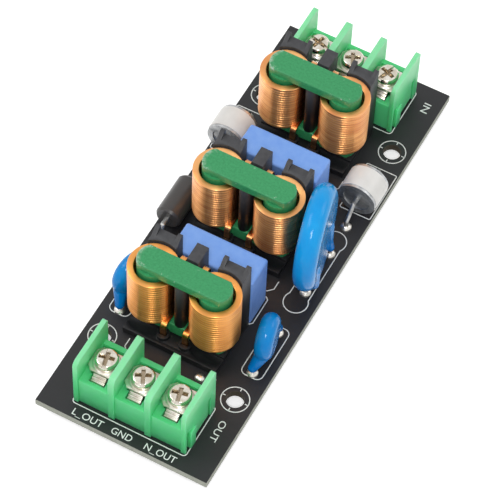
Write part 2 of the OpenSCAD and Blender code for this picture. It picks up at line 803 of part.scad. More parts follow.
module tube_ceramic(side) {
    translate([side * tube_x, tube_y - tube_length / 2 + tube_cap, top + tube_radius + tube_lift])
        rotate([-90, 0, 0])
            cylinder(r = tube_radius, h = tube_length - 2 * tube_cap, $fn = 96);
}

module tube_caps(side) {
    for (y = [-tube_length / 2, tube_length / 2 - tube_cap])
        translate([side * tube_x, tube_y + y, top + tube_radius + tube_lift])
            rotate([-90, 0, 0])
                tube_cap_disc(y > 0);
}

// One end cap, dished on its outer face
module tube_cap_disc(rear) {
    difference() {
        cylinder(r = tube_radius - 0.12, h = tube_cap, $fn = 96);
        translate([0, 0, rear ? tube_cap - tube_dish_depth : -1])
            cylinder(r = tube_dish_radius, h = tube_dish_depth + 1, $fn = 96);
    }
}

module tube_leads(side) {
    z = top + tube_radius + tube_lift;
    for (s = [-1, 1])
        bent_wire([[side * tube_x, tube_y + s * (tube_length / 2 - tube_dish_depth), z],
                   [side * tube_x, tube_y + s * (tube_reach - tube_lead_drop), z],
                   [side * tube_x, tube_y + s * tube_reach, z - tube_lead_drop],
                   [side * tube_x, tube_y + s * tube_reach, tip]], tube_lead / 2);
}

module diode_body() {
    r = diode_diameter / 2;
    translate([diode_x, diode_y, top + diode_lift + r])
        rotate([90, 0, 0])
            rotate_extrude()
                polygon([[0, -diode_length / 2], [r - 0.35, -diode_length / 2], [r, 0.5 - diode_length / 2],
                         [r, diode_length / 2 - 0.5], [r - 0.35, diode_length / 2], [0, diode_length / 2]]);
}

module diode_leads() {
    z = top + diode_lift + diode_diameter / 2;
    for (s = [-1, 1])
        bent_wire([[diode_x, diode_y + s * diode_length / 2, z],
                   [diode_x, diode_y + s * (diode_reach - 0.9), z],
                   [diode_x, diode_y + s * diode_reach, z - 0.9],
                   [diode_x, diode_y + s * diode_reach, tip]], diode_lead / 2);
}

color("#2b2b2e") pcb();
color("#c9cacb") solder_joints();
color("#4cc477") terminal_housing_at(out_strip_front);  // out_terminal_housing
color("#d8d4cc") terminal_contacts_at(out_strip_front);  // out_terminal_contacts
color("#d8d4cc") terminal_clamps_at(out_strip_front);  // out_terminal_clamps
color("#e4e0d8") terminal_screws_at(out_strip_front, screw_turns_out);  // out_terminal_screws
color("#4cc477") terminal_housing_at(in_strip_front);  // in_terminal_housing
color("#d8d4cc") terminal_contacts_at(in_strip_front);  // in_terminal_contacts
color("#d8d4cc") terminal_clamps_at(in_strip_front);  // in_terminal_clamps
color("#e4e0d8") terminal_screws_at(in_strip_front, screw_turns_in);  // in_terminal_screws
color("#4a4a4c") choke_base_at(choke_out_y);  // out_choke_base
color("#3f9e63") choke_core_at(choke_out_y);  // out_choke_core
color("#d9933f") choke_winding_at(choke_out_y, -1);  // out_choke_left_winding
color("#d9933f") choke_winding_at(choke_out_y, 1);  // out_choke_right_winding
color("#4a4a4c") choke_base_at(choke_mid_y);  // middle_choke_base
color("#3f9e63") choke_core_at(choke_mid_y);  // middle_choke_core
color("#d9933f") choke_winding_at(choke_mid_y, -1);  // middle_choke_left_winding
color("#d9933f") choke_winding_at(choke_mid_y, 1);  // middle_choke_right_winding
color("#4a4a4c") choke_base_at(choke_in_y);  // in_choke_base
color("#3f9e63") choke_core_at(choke_in_y);  // in_choke_core
color("#d9933f") choke_winding_at(choke_in_y, -1);  // in_choke_left_winding
color("#d9933f") choke_winding_at(choke_in_y, 1);  // in_choke_right_winding
color("#4f6fd0") box_capacitor_case(box_cap_out_x, box_cap_out_y);  // out_box_capacitor_case
color("#3a4fb0") box_capacitor_resin(box_cap_out_x, box_cap_out_y);  // out_box_capacitor_resin
color("#c9cacb") box_capacitor_leads(box_cap_out_x, box_cap_out_y);  // out_box_capacitor_leads
color("#4f6fd0") box_capacitor_case(box_cap_in_x, box_cap_in_y);  // in_box_capacitor_case
color("#3a4fb0") box_capacitor_resin(box_cap_in_x, box_cap_in_y);  // in_box_capacitor_resin
color("#c9cacb") box_capacitor_leads(box_cap_in_x, box_cap_in_y);  // in_box_capacitor_leads
color("#0a78cc") disc_capacitor(-1);  // left_disc_capacitor
color("#c9cacb") disc_capacitor_leads(-1);  // left_disc_capacitor_leads
color("#0a78cc") disc_capacitor(1);  // right_disc_capacitor
color("#c9cacb") disc_capacitor_leads(1);  // right_disc_capacitor_leads
color("#0a6bc0") varistor();
color("#c9cacb") varistor_leads();
color("#dcd8d6") tube_ceramic(-1);  // left_tube_ceramic
color("#55585a") tube_caps(-1);  // left_tube_caps
color("#c9cacb") tube_leads(-1);  // left_tube_leads
color("#dcd8d6") tube_ceramic(1);  // right_tube_ceramic
color("#55585a") tube_caps(1);  // right_tube_caps
color("#c9cacb") tube_leads(1);  // right_tube_leads
color("#3a3836") diode_body();  // diode
color("#c9cacb") diode_leads();
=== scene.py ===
import math

import bmesh
import bpy
from mathutils import Matrix, Vector


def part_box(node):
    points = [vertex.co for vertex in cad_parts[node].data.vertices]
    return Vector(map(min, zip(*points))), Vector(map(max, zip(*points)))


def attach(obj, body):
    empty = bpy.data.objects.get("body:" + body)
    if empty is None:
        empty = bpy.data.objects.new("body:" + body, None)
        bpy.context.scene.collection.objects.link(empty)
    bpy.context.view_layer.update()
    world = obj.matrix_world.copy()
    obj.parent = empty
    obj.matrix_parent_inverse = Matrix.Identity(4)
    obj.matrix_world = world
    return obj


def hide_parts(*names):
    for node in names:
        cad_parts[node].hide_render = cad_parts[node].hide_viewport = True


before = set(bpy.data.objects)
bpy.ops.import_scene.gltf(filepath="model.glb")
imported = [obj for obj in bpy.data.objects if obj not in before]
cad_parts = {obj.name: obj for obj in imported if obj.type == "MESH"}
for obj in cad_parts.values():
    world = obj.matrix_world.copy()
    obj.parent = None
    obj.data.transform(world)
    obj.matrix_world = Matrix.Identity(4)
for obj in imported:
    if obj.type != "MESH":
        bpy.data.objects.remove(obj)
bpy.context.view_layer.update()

# An open-board mains filter: three common-mode chokes of flat copper wire, two box film capacitors,
# two dipped disc capacitors, a dipped disc varistor, two gas discharge tubes and an axial suppressor,
# on a black board between two barrier terminal strips.
# Sizes in this file are millimetres until they go into a mesh, which is in metres. The studio's lamps and
# floor are given in metres.

MM = 0.001
scene = bpy.context.scene

# ---------------------------------------------------------------- sizes shared with the CAD model
BOARD_WIDTH, BOARD_LENGTH, BOARD_TOP = 36.0, 100.5, 1.6
HOLE_X, HOLE_Y, HOLE_RADIUS = 14.15, 32.25, 1.75
LEAD_TIP = -2.0
TERMINAL_PITCH = 7.62
STRIP_FRONT = {"out": -46.9, "in": 36.3}
# The housing's base above the board, the contact's top above that base, and the clamp plate on it
BASE_TOP, CONTACT_RISE, CLAMP_THICKNESS = 7.3, 1.2, 0.75
SCREW_SET_BACK = 5.3
SCREW_SEAT = BOARD_TOP + BASE_TOP + CONTACT_RISE + CLAMP_THICKNESS
SCREW_RADIUS, SCREW_HEIGHT, SCREW_SHANK, SCREW_LENGTH = 2.25, 1.65, 1.5, 5.0
CHOKE_X = -1.4
CHOKE_Y = {"out": -23.9, "middle": 0.9, "in": 27.6}
WINDING_OFFSET, WINDING_RADIUS, WIRE_WIDTH = 6.55, 4.85, 1.25
WINDING_BOTTOM, WINDING_TOP, TURNS = BOARD_TOP + 5.0, BOARD_TOP + 18.0, 17
WIRE_END_FRONT, WIRE_END_REAR = 3.6, 4.6
CORE_LEG, YOKE_HALF, BAR_HALF = 3.1, 2.3, 2.5
CORE_FLOOR, CORE_YOKE, CORE_UNDER, CORE_TOP = (BOARD_TOP + z for z in (1.6, 4.6, 17.9, 20.0))


# ---------------------------------------------------------------- colours and nodes
def colour(code):
    """The linear value of an sRGB hex colour."""
    def channel(i):
        c = int(code[i:i + 2], 16) / 255
        return c / 12.92 if c <= 0.04045 else ((c + 0.055) / 1.055) ** 2.4
    return (channel(1), channel(3), channel(5), 1.0)


def per_mm(size):
    """The texture scale that makes a feature this many millimetres wide."""
    return 1 / (size * MM)


def add(tree, kind, values=None, **settings):
    """Adds a node with its settings; a value that is a socket is linked to that input, any other is set."""
    made = tree.nodes.new(kind)
    for key, value in settings.items():
        setattr(made, key, value)
    for key, value in (values or {}).items():
        if isinstance(value, bpy.types.NodeSocket):
            tree.links.new(value, made.inputs[key])
        else:
            made.inputs[key].default_value = value
    return made


def finish(name, base, **values):
    """A new material: its tree, its main shader and the coordinates of the piece in metres."""
    made = bpy.data.materials.new(name)
    made.use_nodes = True
    tree = made.node_tree
    tree.nodes.clear()
    shader = add(tree, "ShaderNodeBsdfPrincipled", {"Base Color": colour(base), **values})
    add(tree, "ShaderNodeOutputMaterial", {"Surface": shader.outputs[0]})
    place = add(tree, "ShaderNodeTexCoord").outputs["Object"]
    return made, tree, shader, place


def mottled(tree, place, size, detail, dark, light):
    """A colour that drifts between two tones, in patches of a size in millimetres."""
    patches = add(tree, "ShaderNodeTexNoise", {"Vector": place, "Scale": per_mm(size), "Detail": detail})
    tones = add(tree, "ShaderNodeMix", {0: patches.outputs[0], 6: colour(dark), 7: colour(light)},
                data_type="RGBA")
    return tones.outputs[2]


def by_height(tree, place, low, high, below, above):
    """A colour that passes from one to another between two heights above the board."""
    apart = add(tree, "ShaderNodeSeparateXYZ", {0: place})
    height = add(tree, "ShaderNodeMapRange", {"Value": apart.outputs[2], "From Min": (BOARD_TOP + low) * MM,
                                              "From Max": (BOARD_TOP + high) * MM})
    passed = add(tree, "ShaderNodeMix", {0: height.outputs[0], 6: below, 7: above}, data_type="RGBA")
    return passed.outputs[2]


def grained(tree, shader, place, size, detail, strength, depth):
    """Gives the skin a grain of a size and depth in millimetres."""
    grain = add(tree, "ShaderNodeTexNoise", {"Vector": place, "Scale": per_mm(size), "Detail": detail})
    bump = add(tree, "ShaderNodeBump", {"Height": grain.outputs[0], "Strength": strength,
                                        "Distance": depth * MM})
    tree.links.new(bump.outputs[0], shader.inputs["Normal"])


# ---------------------------------------------------------------- materials
def solder_mask_board():
    # FR4 glass laminate under satin black solder mask: nearly black, a little uneven, with the weave just
    # felt in the sheen. The sawn edge shows the pale glass and resin.
    mask_roughness, sawn_roughness = 0.45, 0.75
    made, tree, shader, place = finish("solder_mask_laminate", "#121215", Roughness=mask_roughness)
    mask = mottled(tree, place, 9, 3.0, "#0b0b0e", "#1b1b1f")
    laminate = mottled(tree, place, 0.35, 2.0, "#8a8c82", "#b0b2a6")
    # How far a point is from the middle of the board, to find the sawn edge
    apart = add(tree, "ShaderNodeSeparateXYZ", {0: place})
    aside = add(tree, "ShaderNodeMath", {0: apart.outputs[0]}, operation="ABSOLUTE")
    along = add(tree, "ShaderNodeMath", {0: apart.outputs[1]}, operation="ABSOLUTE")
    side = add(tree, "ShaderNodeMath", {0: aside.outputs[0], 1: (BOARD_WIDTH / 2 - 0.02) * MM},
               operation="GREATER_THAN")
    end = add(tree, "ShaderNodeMath", {0: along.outputs[0], 1: (BOARD_LENGTH / 2 - 0.02) * MM},
              operation="GREATER_THAN")
    edge = add(tree, "ShaderNodeMath", {0: side.outputs[0], 1: end.outputs[0]}, operation="MAXIMUM")
    # The mounting holes' walls are bare laminate too, darker because they are drilled and lie in shade
    across = add(tree, "ShaderNodeMath", {0: aside.outputs[0], 1: HOLE_X * MM}, operation="SUBTRACT")
    lengthways = add(tree, "ShaderNodeMath", {0: along.outputs[0], 1: HOLE_Y * MM}, operation="SUBTRACT")
    offset = add(tree, "ShaderNodeCombineXYZ", {0: across.outputs[0], 1: lengthways.outputs[0]})
    reach = add(tree, "ShaderNodeVectorMath", {0: offset.outputs[0]}, operation="LENGTH")
    bore = add(tree, "ShaderNodeMath", {0: reach.outputs["Value"], 1: (HOLE_RADIUS + 0.03) * MM},
               operation="LESS_THAN")
    bare = add(tree, "ShaderNodeMath", {0: edge.outputs[0], 1: bore.outputs[0]}, operation="MAXIMUM")
    wall = add(tree, "ShaderNodeMix", {0: bore.outputs[0], 6: laminate, 7: colour("#3a3222")},
               data_type="RGBA")
    skin = add(tree, "ShaderNodeMix", {0: bare.outputs[0], 6: mask, 7: wall.outputs[2]}, data_type="RGBA")
    tree.links.new(skin.outputs[2], shader.inputs["Base Color"])
    dull = add(tree, "ShaderNodeMapRange", {"Value": bare.outputs[0], "To Min": mask_roughness,
                                            "To Max": sawn_roughness})
    tree.links.new(dull.outputs[0], shader.inputs["Roughness"])
    # Glass cloth threads, finer in a real board, are drawn about 1 mm apart so that they show. This wave
    # repeats after 0.314 of the size that it is given.
    weave = add(tree, "ShaderNodeTexWave", {"Vector": place, "Scale": per_mm(3.14), "Distortion": 1.5})
    bump = add(tree, "ShaderNodeBump", {"Height": weave.outputs[1], "Strength": 0.05, "Distance": 0.02 * MM})
    tree.links.new(bump.outputs[0], shader.inputs["Normal"])
    return made


def moulded_green():
    # Injection-moulded polyamide: spring green, a soft sheen, thin walls that let light through, and a
    # spark-eroded skin. Towards the top of the walls the green is painted paler: a painted sheen where the
    # tops catch the light.
    made, tree, shader, place = finish("moulded_polyamide_green", "#5cd68c", Roughness=0.42,
                                       **{"Subsurface Weight": 0.6, "Subsurface Scale": 2.0 * MM,
                                          "Subsurface Radius": (0.5, 1.0, 0.6)})
    solid = mottled(tree, place, 4, 4.0, "#4dc97e", "#5bd58c")
    # Painted light: a paler green for the upper walls, where the tops catch the light
    pale_top_painted_sheen = mottled(tree, place, 4, 4.0, "#86dca4", "#9ae4b2")
    tree.links.new(by_height(tree, place, 8, 14, solid, pale_top_painted_sheen), shader.inputs["Base Color"])
    grained(tree, shader, place, 0.15, 2.0, 0.25, 0.02)
    return made


def moulded_black():
    # Glass-filled nylon: satin, with a fine mould grain. Painted shade and light: near-black below, where
    # shade falls, and charcoal grey at the upper ends, where light falls.
    made, tree, shader, place = finish("moulded_nylon_charcoal", "#38383b", Roughness=0.46,
                                       **{"Specular IOR Level": 0.35})
    # Painted shade low down and painted light at the upper ends, between 10 and 17 mm above the board
    painted_shade_low = mottled(tree, place, 1.2, 5.0, "#0b0b0d", "#19191c")
    painted_lit_top = mottled(tree, place, 1.2, 5.0, "#2f2f32", "#4d4d50")
    tree.links.new(by_height(tree, place, 10, 17, painted_shade_low, painted_lit_top), shader.inputs["Base Color"])
    grained(tree, shader, place, 0.12, 2.0, 0.35, 0.03)
    return made


def painted_ferrite():
    # Pressed ferrite sprayed with green epoxy: satin, finely speckled, and rubbed pale along the edges
    made, tree, shader, place = finish("painted_ferrite_green", "#3a9a62", Roughness=0.42)
    speck = add(tree, "ShaderNodeTexNoise", {"Vector": place, "Scale": per_mm(0.45), "Detail": 3.0,
                                             "Roughness": 0.7})
    tone = add(tree, "ShaderNodeMapRange", {"Value": speck.outputs[0], "From Min": 0.35, "From Max": 0.65})
    body = add(tree, "ShaderNodeMix", {0: tone.outputs[0], 6: colour("#2b8752"), 7: colour("#37985f")},
               data_type="RGBA")
    # Rubbed places, by the distance from the edge that the mesh carries in millimetres
    edge = add(tree, "ShaderNodeAttribute", attribute_name="edge_distance")
    near = add(tree, "ShaderNodeMapRange", {"Value": edge.outputs["Fac"], "From Min": 0.0, "From Max": 0.9,
                                            "To Min": 1.0, "To Max": 0.0})
    # Most of them where the bar was gripped, at the end that points to -X
    apart = add(tree, "ShaderNodeSeparateXYZ", {0: place})
    grip = add(tree, "ShaderNodeMapRange", {"Value": apart.outputs[0],
                                            "From Min": (CHOKE_X - WINDING_OFFSET - 2.4) * MM,
                                            "From Max": (CHOKE_X - WINDING_OFFSET + 0.4) * MM,
                                            "To Min": 0.38, "To Max": 0.62})
    chips = add(tree, "ShaderNodeTexNoise", {"Vector": place, "Scale": per_mm(0.8), "Detail": 5.0,
                                             "Roughness": 0.75})
    patch = add(tree, "ShaderNodeMapRange", {"Value": chips.outputs[0], "From Min": grip.outputs[0],
                                             "From Max": 0.68, "To Min": 0.0, "To Max": 0.9})
    worn = add(tree, "ShaderNodeMath", {0: near.outputs[0], 1: patch.outputs[0]}, operation="MULTIPLY",
               use_clamp=True)
    skin = add(tree, "ShaderNodeMix", {0: worn.outputs[0], 6: body.outputs[2], 7: colour("#c9dccb")},
               data_type="RGBA")
    tree.links.new(skin.outputs[2], shader.inputs["Base Color"])
    bump = add(tree, "ShaderNodeBump", {"Height": speck.outputs[0], "Strength": 0.3, "Distance": 0.05 * MM})
    tree.links.new(bump.outputs[0], shader.inputs["Normal"])
    return made


def enamelled_copper(name, light, dark):
    # Drawn flat copper under clear polyester enamel: metal that shifts a little from turn to turn, with
    # drawing marks along the wire that stretch each highlight across it
    made, tree, shader, place = finish(name, light, Metallic=1.0, Roughness=0.31,
                                       **{"Anisotropic": 0.9, "Anisotropic Rotation": 0.25,
                                          "Coat Weight": 0.8, "Coat Roughness": 0.3})
    run = add(tree, "ShaderNodeAttribute", attribute_name="wire_run")
    tree.links.new(run.outputs["Vector"], shader.inputs["Tangent"])
    stretched = add(tree, "ShaderNodeMapping", {"Vector": place, "Scale": (0.15, 0.15, 1.0)})
    turn = add(tree, "ShaderNodeTexNoise", {"Vector": stretched.outputs[0], "Scale": per_mm(0.9),
                                            "Detail": 2.0})
    tone = add(tree, "ShaderNodeMapRange", {"Value": turn.outputs[0], "From Min": 0.3, "From Max": 0.7})
    tint = add(tree, "ShaderNodeMix", {0: tone.outputs[0], 6: colour(dark), 7: colour(light)},
               data_type="RGBA")
    tree.links.new(tint.outputs[2], shader.inputs["Base Color"])
    return made


def moulded_blue():
    # Polyester capacitor box: pale cornflower blue, matt, with a fine moulded grain
    made, tree, shader, place = finish("moulded_polyester_blue", "#6596dd", Roughness=0.48)
    tree.links.new(mottled(tree, place, 1.5, 5.0, "#6694e2", "#86aeec"), shader.inputs["Base Color"])
    grained(tree, shader, place, 0.2, 2.0, 0.3, 0.03)
    return made


def potting_resin():
    # Epoxy potting poured into the box: darker blue, glossy, with a slight skin
    made, tree, shader, place = finish("potting_epoxy_blue", "#35489a", Roughness=0.3)
    grained(tree, shader, place, 2.5, 2.0, 0.3, 0.1)
    return made


def dipped_epoxy():
    # Dip-coated epoxy: sky blue, very glossy, gently uneven where the coat ran. It drains to the lower edge,
    # so it is thin at the top and deep below; its pale top is partly that thin coat and partly a painted
    # sheen.
    made, tree, shader, place = finish("dipped_epoxy_blue", "#0674c8", Roughness=0.13,
                                       **{"Specular IOR Level": 0.2})
    thick = mottled(tree, place, 3, 2.0, "#0062b6", "#007ac6")
    # Partly the thinner coat and partly painted sheen: the paler blue towards the top
    pale_top_painted_sheen = mottled(tree, place, 3, 2.0, "#0a90dc", "#22a8ec")
    tree.links.new(by_height(tree, place, 2, 19, thick, pale_top_painted_sheen), shader.inputs["Base Color"])
    grained(tree, shader, place, 3, 2.0, 0.35, 0.25)
    return made


def glazed_ceramic():
    # Alumina tube with a thin white glaze: clean, faintly warm, soft gloss
    made, tree, shader, place = finish("glazed_alumina_white", "#cac8c4", Roughness=0.32)
    tree.links.new(mottled(tree, place, 2, 4.0, "#d4d2ce", "#e6e4e0"), shader.inputs["Base Color"])
    return made


def plated(name, light, dark, roughness, patch):
    # Plated metal: bright, with a slight stain in patches that also takes some of its gloss
    made, tree, shader, place = finish(name, light, Metallic=1.0, Roughness=roughness)
    stain = add(tree, "ShaderNodeTexNoise", {"Vector": place, "Scale": per_mm(patch), "Detail": 4.0})
    tone = add(tree, "ShaderNodeMapRange", {"Value": stain.outputs[0], "From Min": 0.35, "From Max": 0.65})
    tint = add(tree, "ShaderNodeMix", {0: tone.outputs[0], 6: colour(dark), 7: colour(light)},
               data_type="RGBA")
    tree.links.new(tint.outputs[2], shader.inputs["Base Color"])
    gloss = add(tree, "ShaderNodeMapRange", {"Value": tone.outputs[0], "To Min": roughness + 0.1,
                                             "To Max": roughness - 0.05})
    tree.links.new(gloss.outputs[0], shader.inputs["Roughness"])
    return made


def shade_recess(made, code):
    """Paints shade into a plated screw where its recess is deep, by the depth that the mesh carries in
    millimetres.
    """
    tree = made.node_tree
    shader = next(n for n in tree.nodes if n.type == "BSDF_PRINCIPLED")
    bare = shader.inputs["Base Color"].links[0].from_socket
    depth = add(tree, "ShaderNodeAttribute", attribute_name="recess")
    amount = add(tree, "ShaderNodeMapRange", {"Value": depth.outputs["Fac"], "From Min": 0.15,
                                              "From Max": 1.05, "To Min": 0.0, "To Max": 0.75})
    tint = add(tree, "ShaderNodeMix", {0: amount.outputs[0], 6: bare, 7: colour(code)}, data_type="RGBA")
    tree.links.new(tint.outputs[2], shader.inputs["Base Color"])


def moulded_epoxy():
    # Transfer-moulded diode body: very dark grey, semi-gloss
    made, tree, shader, place = finish("moulded_epoxy_black", "#3c3a39", Roughness=0.3)
    grained(tree, shader, place, 0.4, 3.0, 0.2, 0.03)
    return made


def screen_ink():
    # White epoxy ink printed through a screen: matt, thin, slightly uneven
    made, tree, shader, place = finish("screen_printed_ink", "#e9ece9", Roughness=0.6)
    tree.links.new(mottled(tree, place, 0.3, 3.0, "#d6dad7", "#f4f6f4"), shader.inputs["Base Color"])
    return made


BOARD = solder_mask_board()
GREEN_PLASTIC = moulded_green()
BLACK_PLASTIC = moulded_black()
FERRITE = painted_ferrite()
AMBER_WIRE = enamelled_copper("enamelled_copper_amber", "#fbb35c", "#e79440")
RED_WIRE = enamelled_copper("enamelled_copper_red", "#fcbb74", "#df8a4a")
BLUE_BOX = moulded_blue()
RESIN = potting_resin()
DIPPED = dipped_epoxy()
CERAMIC = glazed_ceramic()
NICKEL = plated("nickel_plated_steel", "#e9e4da", "#cbc2b2", 0.2, 1.2)
# Painted shade: a brownish darkening in the screws' recesses
shade_recess(NICKEL, "#86704e")
TINNED = plated("tinned_brass", "#e6e2da", "#c4bcae", 0.33, 1.5)
LEAD_WIRE = plated("tinned_copper_wire", "#b4b4b2", "#8e8e8d", 0.4, 1.0)
SOLDER = plated("reflowed_solder", "#ece8e0", "#c6c2ba", 0.32, 0.8)
END_CAP = plated("nickel_iron_end_cap", "#c9cacb", "#96989a", 0.45, 1.5)
EPOXY = moulded_epoxy()
INK = screen_ink()


# ---------------------------------------------------------------- mesh helpers
def stand(name, data):
    """Puts an object with this data into the scene."""
    made = bpy.data.objects.new(name, data)
    scene.collection.objects.link(made)
    return made


def piece(name, mesh, replaces=()):
    """Puts a finished mesh on the object: it rides on the root body and stands for its CAD nodes."""
    made = stand(name, mesh)
    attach(made, "root")
    if replaces:
        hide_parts(*replaces)


def settled(carrier, helpers=()):
    """The mesh that an object's modifiers give. The object only carried it, so it and its helpers go."""
    mesh = bpy.data.meshes.new_from_object(carrier.evaluated_get(bpy.context.evaluated_depsgraph_get()))
    for item in [carrier, *helpers]:
        bpy.data.objects.remove(item)
    return mesh


def coated(mesh, material):
    """The mesh with this material alone."""
    mesh.materials.clear()
    mesh.materials.append(material)
    return mesh


def smoothed(mesh, crisp=None):
    """The mesh with smooth faces. Edges sharper than this many degrees stay crisp."""
    mesh.polygons.foreach_set("use_smooth", [True] * len(mesh.polygons))
    if crisp:
        mesh.set_sharp_from_angle(angle=math.radians(crisp))
    return mesh


def build(name, parts, material, crisp=40):
    """One mesh, in metres, from (points, faces) parts in millimetres."""
    points, faces = [], []
    for part_points, part_faces in parts:
        first = len(points)
        points += [(x * MM, y * MM, z * MM) for x, y, z in part_points]
        faces += [[first + i for i in face] for face in part_faces]
    mesh = bpy.data.meshes.new(name)
    mesh.from_pydata(points, [], faces)
    return smoothed(coated(mesh, material), crisp)


def loft(rings):
    """Quads between rings of equal length, with flat ends."""
    count = len(rings[0])
    points = [p for ring in rings for p in ring]
    faces = []
    for i in range(len(rings) - 1):
        low, high = i * count, (i + 1) * count
        for k in range(count):
            n = (k + 1) % count
            faces.append([low + k, low + n, high + n, high + k])
    faces.append(list(range(count))[::-1])
    faces.append([len(points) - count + k for k in range(count)])
    return points, faces


def circle(radius, count, z, centre=(0, 0)):
    """A ring of points, anticlockwise from above."""
    return [(centre[0] + radius * math.cos(2 * math.pi * k / count),
             centre[1] + radius * math.sin(2 * math.pi * k / count), z) for k in range(count)]


def moved(part, offset):
    """A part moved along the three axes."""
    points, faces = part
    return [(x + offset[0], y + offset[1], z + offset[2]) for x, y, z in points], faces


def block(low, high):
    """A closed box between two corners."""
    return loft([[(low[0], low[1], z), (high[0], low[1], z), (high[0], high[1], z), (low[0], high[1], z)]
                 for z in (low[2], high[2])])


def cut_away(carrier, tools):
    """Takes closed (points, faces) tools out of a carrier, and returns the cutters to remove afterwards."""
    cutters = []
    for tool in tools:
        cutter = stand("tool", build("tool", [tool], carrier.data.materials[0]))
        cut = carrier.modifiers.new("cut", "BOOLEAN")
        cut.operation, cut.solver, cut.object = "DIFFERENCE", "EXACT", cutter
        cutters.append(cutter)
    return cutters


def round_edges(carrier, width, angle):
    """Rounds the edges of a carrier that are sharper than an angle in degrees."""
    bevel = carrier.modifiers.new("round", "BEVEL")
    bevel.width, bevel.segments = width * MM, 2
    bevel.limit_method, bevel.angle_limit = "ANGLE", math.radians(angle)


def softened(node, width, material, tools=()):
    """A copy of a CAD node with its sharp edges rounded, as moulded and pressed pieces are, after any
    tools have been cut out of it."""
    shape = bmesh.new()
    shape.from_mesh(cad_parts[node].data)
    bmesh.ops.remove_doubles(shape, verts=shape.verts, dist=0.002 * MM)
    bmesh.ops.dissolve_limit(shape, angle_limit=math.radians(0.5), verts=shape.verts, edges=shape.edges)
    mesh = bpy.data.meshes.new(node + "_soft")
    shape.to_mesh(mesh)
    shape.free()
    carrier = stand(node + "_carrier", coated(mesh, material))
    cutters = cut_away(carrier, tools)
    round_edges(carrier, width, 50)
    piece(node + "_softened", smoothed(coated(settled(carrier, cutters), material), 35), [node])


def grow(name, lay, material, sizes, base=None):
    """A mesh made by Geometry Nodes. lay(tree, sockets) puts the nodes after the named inputs and returns
    the shape's socket; base is the mesh that the tree starts from."""
    tree = bpy.data.node_groups.new(name, "GeometryNodeTree")
    face = tree.interface
    face.new_socket("Geometry", in_out="INPUT", socket_type="NodeSocketGeometry")
    named = {}
    for label, value in sizes.items():
        kind = ("NodeSocketInt" if isinstance(value, int)
                else "NodeSocketVector" if isinstance(value, tuple) else "NodeSocketFloat")
        named[face.new_socket(label, in_out="INPUT", socket_type=kind).identifier] = value
    face.new_socket("Geometry", in_out="OUTPUT", socket_type="NodeSocketGeometry")
    shape = lay(tree, add(tree, "NodeGroupInput").outputs)
    real = add(tree, "GeometryNodeRealizeInstances", {"Geometry": shape})
    painted = add(tree, "GeometryNodeSetMaterial", {"Geometry": real.outputs[0], "Material": material})
    add(tree, "NodeGroupOutput", {0: painted.outputs[0]})
    carrier = stand(name + "_carrier", base or bpy.data.meshes.new(name + "_seed"))
    grower = carrier.modifiers.new("grow", "NODES")
    grower.node_group = tree
    for identifier, value in named.items():
        grower[identifier] = value
    return settled(carrier)


# ---------------------------------------------------------------- CAD nodes that keep their shape
KEPT = {
    "pcb": BOARD, "solder_joints": SOLDER,
    "out_box_capacitor_case": BLUE_BOX, "in_box_capacitor_case": BLUE_BOX,
    "out_box_capacitor_resin": RESIN, "in_box_capacitor_resin": RESIN,
    "out_box_capacitor_leads": LEAD_WIRE, "in_box_capacitor_leads": LEAD_WIRE,
    "left_disc_capacitor_leads": LEAD_WIRE, "right_disc_capacitor_leads": LEAD_WIRE,
    "varistor_leads": LEAD_WIRE, "left_tube_leads": LEAD_WIRE, "right_tube_leads": LEAD_WIRE,
    "left_tube_ceramic": CERAMIC, "right_tube_ceramic": CERAMIC,
    "left_tube_caps": END_CAP, "right_tube_caps": END_CAP,
    "diode": EPOXY, "diode_leads": LEAD_WIRE,
}
for node, material in KEPT.items():
    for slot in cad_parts[node].material_slots:
        slot.material = material


# ---------------------------------------------------------------- terminal strips
# Behind each clamp the pocket runs on, which leaves a narrow rail, and the rail steps down at the rear.
# Set-backs are from the strip's front edge, and heights are above the board.
POCKET_FRONT, POCKET_REAR, POCKET_FLOOR, POCKET_HALF = SCREW_SET_BACK + 2.4, 9.45, 5.4, 3.1
STEP_FRONT, STEP_REAR, STEP_FLOOR, STEP_HALF = 10.5, 11.6, 6.2, 3.1
CUT_TOP = BASE_TOP + 0.4


def strip_recesses(front):
    """The pocket and the rear step of each bay, as tools to cut out of a housing."""
    tools = []
    for x in (-TERMINAL_PITCH, 0, TERMINAL_PITCH):
        tools.append(block((x - POCKET_HALF, front + POCKET_FRONT, BOARD_TOP + POCKET_FLOOR),
                           (x + POCKET_HALF, front + POCKET_REAR, BOARD_TOP + CUT_TOP)))
        tools.append(block((x - STEP_HALF, front + STEP_FRONT, BOARD_TOP + STEP_FLOOR),
                           (x + STEP_HALF, front + STEP_REAR, BOARD_TOP + CUT_TOP)))
    return tools


for strip, front in STRIP_FRONT.items():
    softened(strip + "_terminal_housing", 0.16, GREEN_PLASTIC, strip_recesses(front))
    softened(strip + "_terminal_contacts", 0.08, TINNED)
    softened(strip + "_terminal_clamps", 0.12, TINNED)


# ---------------------------------------------------------------- terminal screws
# How each screw of a strip is turned, in degrees, from -X to +X
SCREW_TURNS = {"out": (102, 116, 103), "in": (-15, 116, 70)}
SCREW_TIP, HEAD_LIP_IN, HEAD_LIP_UP = 0.3, 0.06, 0.08
SLOT_HALF, SLOT_DEPTH, SLOT_DRAFT = 0.42, 0.62, 0.02
CROSS_HALF, CROSS_DEPTH, CROSS_DRAFT, CROSS_REACH = 0.46, 1.05, 0.16, SCREW_RADIUS * 0.7
# The head's crown falls gently from its middle, and at this share of the radius it turns down into the rim.
# Heights are shares of the head's.
RIM, CROWN_FALL, RIM_HEIGHT, RIM_FALL, RIM_CURVE = 0.86, 0.07, 0.948, 2.6, 1.25


